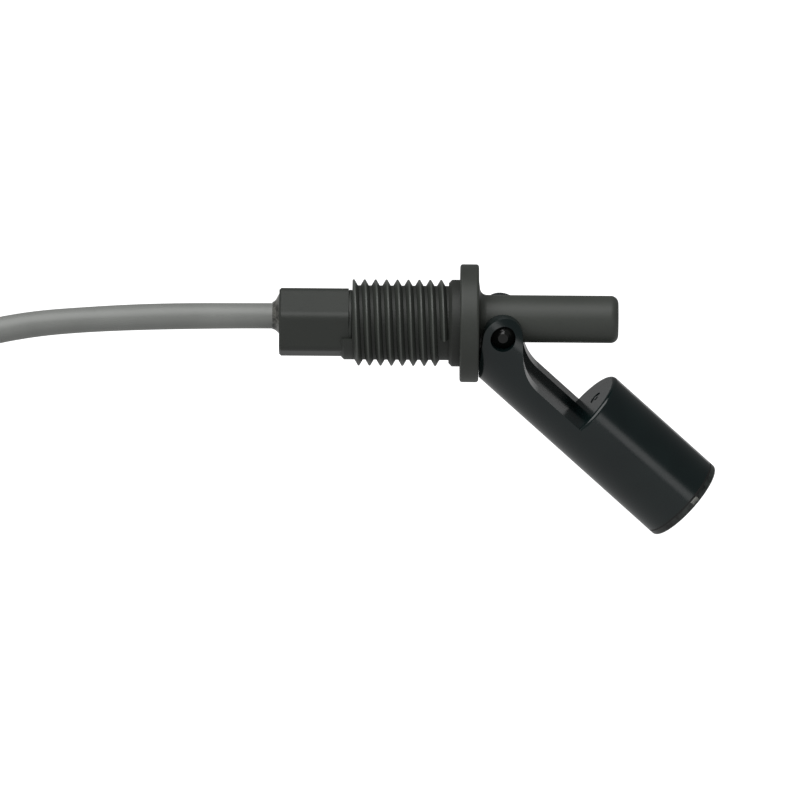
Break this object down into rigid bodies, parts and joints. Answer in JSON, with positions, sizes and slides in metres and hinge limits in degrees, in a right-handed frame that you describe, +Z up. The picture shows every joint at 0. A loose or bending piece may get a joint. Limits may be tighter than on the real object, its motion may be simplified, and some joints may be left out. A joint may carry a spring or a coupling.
{
  "type": "float level switch",
  "caption": "Side-mounted float level switch: threaded body with a hexagonal tail, flange and reed stem, a hinged hollow float with a magnet, and a round cable with bare ends.",
  "frame": {"origin": "centre of the locating collar at the flange's sealing face", "axes": "+X along the thread's axis towards the stem and the float, +Z up, so the hinge axis is along Y"},
  "size_m": [0.2294, 0.045, 0.0513],
  "materials": {
    "housing_plastic": "satin dark grey moulding",
    "float_plastic": "smooth black moulding",
    "resin": "glossy black resin",
    "glass": "clear green-tinted glass",
    "plated_alloy": "plated nickel-iron",
    "core_brown": "brown insulation",
    "core_blue": "blue insulation",
    "copper": "bare copper strand",
    "solder": "bright solder",
    "sleeve": "shrunk black sleeve",
    "cable_grey": "grey flexible sheath",
    "tie": "natural nylon",
    "tinned_copper": "tinned strand",
    "ferrite": "dark ferrite"
  },
  "bodies": {
    "switch_body": {"housing": "housing_plastic", "potting": "resin", "reed_glass": "glass", "reed_blade_tail": "plated_alloy", "reed_blade_tip": "plated_alloy", "core_long": "core_brown", "core_short": "core_blue", "wire_long": "copper", "wire_short": "copper", "solder_tail": "solder", "solder_tip": "solder", "sleeve_tail": "sleeve", "cable_sheath": "cable_grey", "cable_coil": "cable_grey", "coil_tie": "tie", "bare_core_a": "core_brown", "tinned_end_a": "tinned_copper", "bare_core_b": "core_blue", "tinned_end_b": "tinned_copper"},
    "float": {"float_arm": "float_plastic", "float_cap": "float_plastic", "magnet": "ferrite"}
  },
  "joints": [
    {"name": "float_hinge", "type": "hinge", "parent": "switch_body", "child": "float", "pos_m": [0.00786, 0, -0.00017], "axis": [0, -1, 0], "range_deg": [0, 44.3]}
  ]
}
